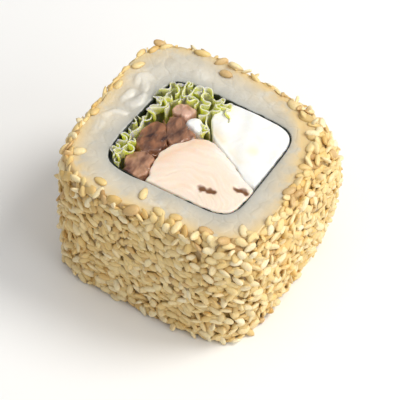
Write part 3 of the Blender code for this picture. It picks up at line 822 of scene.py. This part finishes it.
def chickenFinish():
    finish, tree = newFinish("cookedChicken", roughness=0.36, specular=0.45, coat=(0.1, 0.3),
                             scatter=(0.45, 0.0014, (1.0, 0.55, 0.35)))
    body = ramp(tree, mark(tree, "strand"), [
        (0.0, (0.93, 0.735, 0.59)), (0.45, (0.94, 0.765, 0.63)), (1.0, (0.955, 0.79, 0.665))])
    patchy = reshape(tree, noise(tree, 2.6, detail=3), 0.45, 0.75, 0.0, 0.45)
    body = blend(tree, patchy, body, (0.93, 0.70, 0.52))
    body = blend(tree, times(tree, mark(tree, "tanned"), 0.6), body, (0.86, 0.56, 0.36))
    body = blend(tree, times(tree, mark(tree, "creamy"), 0.75), body, (0.96, 0.90, 0.83))
    body = blend(tree, mark(tree, "browned"), body, (0.19, 0.075, 0.022))
    return complete(finish, body, noise(tree, 0.25, detail=3), 0.08, 0.6)


chickenStrip = fillingPiece("chicken_strip", "chicken", chicken, chickenRelief, chickenFinish(), chickenMarks)
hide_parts("chicken")

# The shiitake slices
shiitake = {
    "around": 150, "pitch": 0.14, "grow": 0.27, "sink": 0.2, "crown": 0.1, "edge": 0.4, "foot": 0.35,
    "press": 0.75, "ragged": 0.14,
    "wrinkles": 0.02,
    "lumps": 0.16,
    "shredTop": 27.35, "shredFoot": 24.5,
    "shredStray": 0.15,              # how far a shred strays sideways from its line
    "shreds": [                      # thin ends of cap between the slices: line and thickness
        ([(-8.6, -8.8), (-8.5, -7.4), (-7.6, -6.7), (-6.2, -6.0)], 0.75),
        ([(-5.6, -6.0), (-4.4, -5.4), (-3.9, -4.0), (-4.0, -2.6)], 0.7),
        ([(-5.2, -1.5), (-6.4, 0.5), (-7.5, 2.4)], 0.6),
        ([(-8.9, -0.4), (-9.1, -2.6), (-8.7, -4.9)], 0.7),
        ([(-7.0, 3.2), (-6.0, 4.4), (-4.2, 4.6)], 0.6),
        ([(-3.4, -3.3), (-2.9, -1.7), (-1.6, -0.2)], 0.5),
    ],
    "slices": {                      # dark and light tone of each slice
        "shiitake_lower": ((0.11, 0.034, 0.016), (0.50, 0.26, 0.15)),
        "shiitake_middle": ((0.045, 0.011, 0.005), (0.33, 0.135, 0.06)),
        "shiitake_upper": ((0.05, 0.014, 0.007), (0.37, 0.17, 0.09)),
        "shiitake_small": ((0.30, 0.12, 0.07), (0.68, 0.42, 0.31)),
    },
}


def shiitakeRelief(flat):
    folds = 1 - 2 * np.abs(unevenness(flat, 0.9, 91))
    return shiitake["wrinkles"] * folds + shiitake["lumps"] * unevenness(flat, 2.4, 92)


def shiitakeMarks(points):
    flat = points[:, :2]
    # high in the wrinkles' hollows, where the colour is darkened as painted shade
    return {"fold": np.clip(0.5 + 0.5 * unevenness(flat, 0.9, 91), 0, 1)}


def shiitakeFinish(name, dark, light):
    finish, tree = newFinish(name, roughness=0.26, specular=0.5, coat=(0.8, 0.07),
                             scatter=(0.2, 0.001, (1.0, 0.5, 0.3)))
    sliced = noise(tree, 1.9, placeOn(tree, (1, 0.42, 0.42), 0.6), detail=2.5, twist=0.25)
    body = ramp(tree, sliced, [(0.32, dark), (0.6, light)])
    # darker in the wrinkles' hollows: painted shade in the creases
    body = blend(tree, reshape(tree, mark(tree, "fold"), 0.6, 1.0, 0.0, 0.45), body, dark)
    return complete(finish, body, noise(tree, 0.9, detail=2), 0.3, 0.8, wet=True)


for nodeName, (dark, light) in shiitake["slices"].items():
    mushroom = fillingPiece(nodeName + "_slice", nodeName, shiitake, shiitakeRelief,
                            shiitakeFinish(nodeName + "Flesh", dark, light), shiitakeMarks)
    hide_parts(nodeName)

# The lettuce leaves, standing on edge between the nori and the filling
lettuce = {
    "leaves": {                      # node: outline on the cut, and turns and phase of its slow wave
        "lettuce_outer": ([
            (-8.5, -10.7), (-10.1, -10.1), (-10.2, -8.4), (-9.5, -6.5), (-10.1, -4.3), (-10.1, -1.9),
            (-10.6, 0.3), (-10.3, 3.1), (-10.4, 5.9), (-9.9, 8.2), (-8.5, 9.8), (-6.2, 10.3), (-4.3, 10.6),
            (-2.3, 10.2), (-1.4, 7.8), (-0.7, 5.5), (0.9, 3.4)], 5, 0.4),
        "lettuce_inner": ([
            (-8.0, 3.6), (-8.7, 4.9), (-8.3, 6.6), (-7.2, 8.0), (-5.6, 8.5), (-4.3, 8.9), (-3.4, 8.2),
            (-3.1, 7.2)], 3, 1.2),
    },
    "curls": [                       # loose frills: line, foot, top and swing of the meander in degrees
        ([(-10.6, -10.3), (-10.7, -8.6), (-10.6, -6.6), (-10.8, -4.0)], 26.0, 28.25, 92),
        ([(-10.8, -4.2), (-10.9, -1.5), (-10.9, 1.5), (-10.8, 4.2)], 26.0, 28.1, 86),
        ([(-10.8, 4.0), (-10.7, 6.2), (-10.3, 8.6), (-9.2, 10.0)], 26.0, 28.45, 95),
        ([(-9.3, 10.3), (-7.0, 10.7), (-4.5, 10.8), (-2.6, 10.6)], 26.0, 28.55, 92),
        ([(-9.3, -9.9), (-8.9, -8.9), (-8.6, -8.0), (-9.0, -6.6), (-9.3, -5.2)], 26.4, 28.45, 95),
        ([(-9.5, 1.6), (-9.4, 3.4), (-9.4, 5.0), (-9.0, 6.8)], 26.4, 28.55, 95),
        ([(-9.0, 8.0), (-7.6, 9.1), (-5.6, 9.5), (-3.9, 9.4)], 26.4, 28.8, 100),
        ([(-3.0, 9.4), (-2.6, 8.0), (-2.3, 6.6), (-1.9, 5.4)], 26.4, 28.75, 95),
        ([(-7.6, 6.9), (-6.4, 7.7), (-5.0, 7.9), (-3.9, 7.5)], 26.6, 28.45, 90),
        ([(-1.2, 9.9), (-0.6, 8.9), (-0.3, 7.6)], 26.6, 28.75, 90),
        ([(-1.9, 10.4), (-0.6, 10.2), (0.6, 9.8), (1.6, 9.0)], 27.0, 28.55, 85),
        ([(-0.9, 4.4), (-0.1, 3.2), (0.7, 2.4)], 27.2, 28.4, 70),
        ([(-0.2, 9.0), (1.0, 8.7), (2.2, 8.0), (3.0, 7.0)], 28.0, 28.7, 45),
    ],
    "wave": 0.3,
    "thickness": 0.42, "curlThickness": 0.36,
    "loop": 2.5,                     # how far apart the loops of a curl are
    "lean": 0.25,
    "ruffle": (0.3, 0.9),            # sideways reach and half wavelength of the frill over the cut
    "rise": 0.55, "highest": 28.95,
    "spill": (27.7, 0.6),            # above this height, and over so much, a ribbon may pass the nori
    "foot": 0.7,
    "rows": 22,
}


def smoothLine(control, spacing):
    # points about the spacing apart on a smooth curve through the control points, and how far along each is
    control = np.array(control, float)
    padded = np.vstack([2 * control[0] - control[1], control, 2 * control[-1] - control[-2]])
    at = np.linspace(0, len(control) - 1, 40 * len(control))
    span = np.minimum(at.astype(int), len(control) - 2)
    t = (at - span)[:, None]
    before, start, end, after = (padded[span + shift] for shift in range(4))
    curve = 0.5 * (2 * start + (end - before) * t + (2 * before - 5 * start + 4 * end - after) * t**2
                   + (3 * start - before - 3 * end + after) * t**3)
    walked = walkedAlong(curve)
    even = np.linspace(0, walked[-1], int(walked[-1] / spacing))
    return onLine(curve, walked, even), even


def keptInNori(flat, clearance):
    away, reach, limit = insideNori(flat, clearance)
    return nori["centre"] + away * np.minimum(1, limit / reach)[:, None]


def acrossLine(line):
    along = np.gradient(line, axis=0)
    return unit(np.column_stack([-along[:, 1], along[:, 0]]))


def ribbon(lines, levels, foot, tops, thickness):
    # a thin closed sheet on edge, given by its middle line at each level
    count = len(lines[0])
    sides = {-1: [], 1: []}
    for line, level in zip(lines, levels):
        across = acrossLine(line)
        height = foot + (tops - foot) * level
        share = np.clip((height - lettuce["spill"][0]) / lettuce["spill"][1], 0, 1)[:, None]
        for side, rows in sides.items():
            flat = line + across * (side * thickness * (1 - 0.45 * level**3) / 2)[:, None]
            inside = keptInNori(flat, 0.1) * (1 - share) + keptInNori(flat, -0.35) * share
            rows.append(np.column_stack([inside, height]))
    rows = [*sides[-1][::-1], *sides[1]]
    frill = np.repeat([*levels[::-1], *levels], count)
    return np.concatenate(rows), bandFaces(len(rows), count), frill


def leafFinish():
    finish, tree = newFinish("lettuceLeaf", roughness=0.36, specular=0.45,
                             scatter=(0.9, 0.0025, (0.9, 1.0, 0.3)))
    body = ramp(tree, noise(tree, 1.7, detail=4, twist=0.5), [
        (0.34, (0.95, 0.93, 0.60)), (0.5, (0.86, 0.87, 0.22)), (0.68, (0.53, 0.66, 0.06))])
    veins = reshape(tree, noise(tree, 0.5, placeOn(tree, (1, 1, 0.25)), detail=2), 0.55, 0.7, 0.0, 0.4)
    body = blend(tree, veins, body, (0.88, 0.88, 0.36))
    cutEdge = reshape(tree, mark(tree, "frill"), 0.9, 1.0, 0.0, 0.6)
    body = blend(tree, cutEdge, body, (0.96, 0.94, 0.62))
    return complete(finish, body, noise(tree, 0.4, placeOn(tree, (1, 1, 0.3)), detail=3), 0.1, 0.6)


def standingLeaf(nodeName, finish):
    control, turns, phase = lettuce["leaves"][nodeName]
    line, walked = smoothLine(control, 0.11)
    share = walked / walked[-1]
    reach, halfWave = lettuce["ruffle"]
    seed = 101 + len(control)
    walk = np.column_stack([walked, 0 * walked])
    fine, broad = unevenness(walk, halfWave, seed), unevenness(walk, 2.2, seed + 1)

    def sway(level):
        slow = lettuce["wave"] * (0.5 + 0.5 * level) * np.sin(turns * fullTurn * share + phase + level * 1.5)
        return slow + reach * ease((level - 0.94) / 0.06) * fine

    tops = rollBody["height"] - 0.05 + lettuce["rise"] * np.clip(0.35 + 0.6 * broad, -0.5, 1.2)
    levels = 1 - (1 - np.linspace(0, 1, lettuce["rows"])) ** 2.2
    across = acrossLine(line)
    lines = [line + across * sway(level)[:, None] for level in levels]
    thickness = np.full(len(line), lettuce["thickness"])
    points, faces, frill = ribbon(lines, levels, lettuce["foot"], tops, thickness)
    leafPiece = makePiece(nodeName + "_leaf", points, faces, finish, {"frill": frill})
    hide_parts(nodeName)


def looseCurl(index):
    # a ribbon whose heading swings from side to side, so that it meanders in rounded loops
    control, foot, top, swing = lettuce["curls"][index]
    line, walked = smoothLine(control, 0.05)
    loops = max(2, round(walked[-1] / lettuce["loop"]))
    at = np.linspace(0, loops, loops * 26)
    slow = unevenness(at[:, None], 1.1, 120 + index)
    heading = np.radians(swing) * (1 + 0.22 * slow) * np.sin(fullTurn * at + 0.8 * slow)
    ahead = np.concatenate([[0], np.cumsum(np.cos(heading))[:-1]])
    size = walked[-1] / ahead[-1]
    ahead = np.clip(ahead * size, 0, walked[-1])
    aside = np.cumsum(np.sin(heading)) * size
    aside -= aside.mean()
    across = acrossLine(line)
    even = at / loops * walked[-1]
    tops = np.minimum(top + 0.22 * unevenness(at[:, None], 0.9, 160 + index), lettuce["highest"])
    levels = np.linspace(0, 1, 12)
    lines = []
    for level in levels:
        where = even + (ahead - even) * level
        lean = lettuce["lean"] * level**2 * (1 + 0.8 * slow)
        reach = aside * (0.4 + 0.6 * level) + lean
        lines.append(onLine(line, walked, where) + onLine(across, walked, where) * reach[:, None])
    return ribbon(lines, levels, foot, tops, np.full(len(at), lettuce["curlThickness"]))


def strips(name, shapes, finish):
    # thin strips on edge as one piece, each given by its points, faces and level marks
    points, faces, frill, first = [], [], [], 0
    for made, madeFaces, madeFrill in shapes:
        points.append(made)
        faces += [[corner + first for corner in face] for face in madeFaces]
        frill.append(madeFrill)
        first += len(made)
    piece = makePiece(name, np.concatenate(points), faces, finish, {"frill": np.concatenate(frill)})


def shreddedShiitake():
    shapes = []
    for index, (control, thickness) in enumerate(shiitake["shreds"]):
        line, walked = smoothLine(control, 0.1)
        line = line + shiitake["shredStray"] * straying(line, 0.9, 180 + index, 185 + index)
        tops = shiitake["shredTop"] + 0.25 * unevenness(walked[:, None], 1.1, 190 + index)
        body = thickness * (0.35 + 0.65 * np.sqrt(np.clip(1 - (2 * walked / walked[-1] - 1) ** 4, 0, 1)))
        shapes.append(ribbon([line] * 12, np.linspace(0, 1, 12), shiitake["shredFoot"], tops, body))
    # the shreds' own brown, a touch darker than the middle slice as painted shade in the crevices between the
    # slices
    strips("shiitake_shreds", shapes,
           shiitakeFinish("shiitakeShred", (0.04, 0.010, 0.003), (0.30, 0.12, 0.045)))


leafMaterial = leafFinish()
for nodeName in lettuce["leaves"]:
    standingLeaf(nodeName, leafMaterial)
strips("lettuce_curls", [looseCurl(index) for index in range(len(lettuce["curls"]))], leafMaterial)
shreddedShiitake()

# Floor, light and camera
studio = {
    "floor": 3.0,
    "floorTone": (0.93, 0.925, 0.915),
    "sky": 0.36,
    "lights": [                      # name, azimuth, elevation, distance, size, watts, colour
        ("key", 124, 52, 0.9, 0.4, 4.9, (1.0, 0.98, 0.94)),
        ("side", 84, 28, 1.0, 0.7, 3.2, (0.97, 0.99, 1.0)),
        ("top", 60, 82, 0.9, 1.1, 2.1, (1.0, 1.0, 1.0)),
    ],
    "azimuth": 32, "elevation": 50, "distance": 0.396, "lens": 198,
    "aim": (0.0, 0.0, 0.0128),
}


def setUp(name, data, azimuth, elevation, distance):
    # a lamp or the camera, placed around the roll and turned to it
    aim, side, up = Vector(studio["aim"]), np.radians(azimuth), np.radians(elevation)
    thing = bpy.data.objects.new(name, data)
    around = Vector((np.sin(side) * np.cos(up), -np.cos(side) * np.cos(up), np.sin(up)))
    thing.location = aim + around * distance
    thing.rotation_euler = (aim - thing.location).to_track_quat("-Z", "Y").to_euler()
    bpy.context.scene.collection.objects.link(thing)
    return thing


def buildStudio():
    world = bpy.data.worlds.new("paleRoom")
    world.use_nodes = True
    sky = world.node_tree.nodes["Background"].inputs
    sky["Color"].default_value = (1, 1, 1, 1)
    sky["Strength"].default_value = studio["sky"]
    bpy.context.scene.world = world
    half = studio["floor"] / 2
    mesh = bpy.data.meshes.new("table_top")
    corners = [(-half, -half, 0), (half, -half, 0), (half, half, 0), (-half, half, 0)]
    mesh.from_pydata(corners, [], [(0, 1, 2, 3)])
    finish, tree = newFinish("paleTable", roughness=0.6)
    tree.nodes["Principled BSDF"].inputs["Base Color"].default_value = (*studio["floorTone"], 1)
    mesh.materials.append(finish)
    table = bpy.data.objects.new("table_top", mesh)
    table.location.z = -0.00002
    bpy.context.scene.collection.objects.link(table)
    for name, azimuth, elevation, distance, size, watts, colour in studio["lights"]:
        data = bpy.data.lights.new(name, "AREA")
        data.shape = "DISK"
        data.size = size
        data.energy = watts
        data.color = colour
        setUp(name, data, azimuth, elevation, distance).visible_camera = False
    data = bpy.data.cameras.new("camera")
    data.lens = studio["lens"]
    data.sensor_width = 36
    data.clip_start = 0.01
    camera = setUp("camera", data, studio["azimuth"], studio["elevation"], studio["distance"])
    bpy.context.scene.camera = camera
    bpy.context.scene.view_settings.view_transform = "Standard"
    print("studio ready")


buildStudio()
